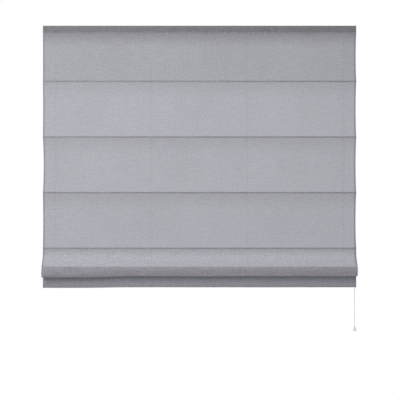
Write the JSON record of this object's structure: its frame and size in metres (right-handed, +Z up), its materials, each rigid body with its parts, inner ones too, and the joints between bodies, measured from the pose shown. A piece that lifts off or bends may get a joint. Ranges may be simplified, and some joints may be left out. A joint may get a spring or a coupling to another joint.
{
  "type": "roman blind",
  "caption": "Sheer cloth roman blind on a slim head rail, with cross rods in sewn pockets, a bar in the bottom hem, lift cords on ring rows, a cord lock and a pull cord with a bell.",
  "frame": {"origin": "on the wall, at the middle of the four bracket holes, at half the height of the head rail", "axes": "+X along the head rail to the right of a person facing the blind, +Y into the wall, +Z up"},
  "size_m": [1.3043, 0.0695, 1.2685],
  "materials": {
    "rail_white": "white powder coat on an aluminium section",
    "cap_plastic": "matt white moulded plastic",
    "bracket_steel": "zinc plated sheet steel",
    "hook_tape": "woven nylon hook tape",
    "loop_tape": "brushed nylon loop tape",
    "eyelet_plastic": "smooth white plastic",
    "lock_plastic": "matt white moulded plastic",
    "pin_steel": "drawn steel",
    "roller_brass": "knurled brass",
    "sheer_cloth": "sheer grey voile with a fine slubbed linen weave",
    "rod_fibreglass": "pultruded white fibreglass",
    "bar_steel": "drawn steel rod",
    "ring_plastic": "smooth white plastic",
    "cord_white": "white braided polyester cord",
    "bell_plastic": "smooth pale plastic"
  },
  "bodies": {
    "rail": {"headrail": "rail_white", "end_cap_left": "cap_plastic", "end_cap_right": "cap_plastic", "bracket_left": "bracket_steel", "bracket_right": "bracket_steel", "hook_tape": "hook_tape", "loop_tape": "loop_tape", "eyelet_1": "eyelet_plastic", "eyelet_2": "eyelet_plastic", "eyelet_3": "eyelet_plastic", "eyelet_4": "eyelet_plastic", "cord_lock": "lock_plastic", "lock_pin": "pin_steel", "cloth": "sheer_cloth", "lift_cord_1": "cord_white", "lift_cord_2": "cord_white", "lift_cord_3": "cord_white", "lift_cord_4": "cord_white"},
    "roller": {"lock_roller": "roller_brass"},
    "row_1": {"rod_1": "rod_fibreglass", "rings_1": "ring_plastic"},
    "row_2": {"rod_2": "rod_fibreglass", "rings_2": "ring_plastic"},
    "row_3": {"rod_3": "rod_fibreglass", "rings_3": "ring_plastic"},
    "row_4": {"rod_4": "rod_fibreglass", "rings_4": "ring_plastic"},
    "hem": {"bottom_bar": "bar_steel", "rings_hem": "ring_plastic"},
    "pull": {"pull_cord": "cord_white", "cord_bell": "bell_plastic", "bell_knot": "cord_white"}
  },
  "joints": [
    {"name": "lock_roller", "type": "slide", "parent": "rail", "child": "roller", "axis": [-0.8, 0, 0.6], "range_m": [0, 0.0035]},
    {"name": "pleat_1", "type": "slide", "parent": "rail", "child": "row_1", "axis": [0, 0, 1], "range_m": [0, 0.186], "deforming": ["cloth", "lift_cord_1", "lift_cord_2", "lift_cord_3", "lift_cord_4", "pull_cord"]},
    {"name": "pleat_2", "type": "slide", "parent": "row_1", "child": "row_2", "axis": [0, 0, 1], "range_m": [0, 0.217]},
    {"name": "pleat_3", "type": "slide", "parent": "row_2", "child": "row_3", "axis": [0, 0, 1], "range_m": [0, 0.217]},
    {"name": "pleat_4", "type": "slide", "parent": "row_3", "child": "row_4", "axis": [0, 0, 1], "range_m": [0, 0.217]},
    {"name": "hem_lift", "type": "slide", "parent": "row_4", "child": "hem", "axis": [0, 0, 1], "range_m": [-0.098, 0.064], "deforming": ["cloth", "lift_cord_1", "lift_cord_2", "lift_cord_3", "lift_cord_4"]},
    {"name": "pull", "type": "slide", "parent": "rail", "child": "pull", "axis": [0, 0, -1], "range_m": [0, 0.837]}
  ],
  "couplings": [
    {"joint": "pleat_2", "follows": "pleat_1", "ratio": 1.1667},
    {"joint": "pleat_3", "follows": "pleat_1", "ratio": 1.1667},
    {"joint": "pleat_4", "follows": "pleat_1", "ratio": 1.1667},
    {"joint": "pull", "follows": "pleat_1", "ratio": 4.5}
  ]
}
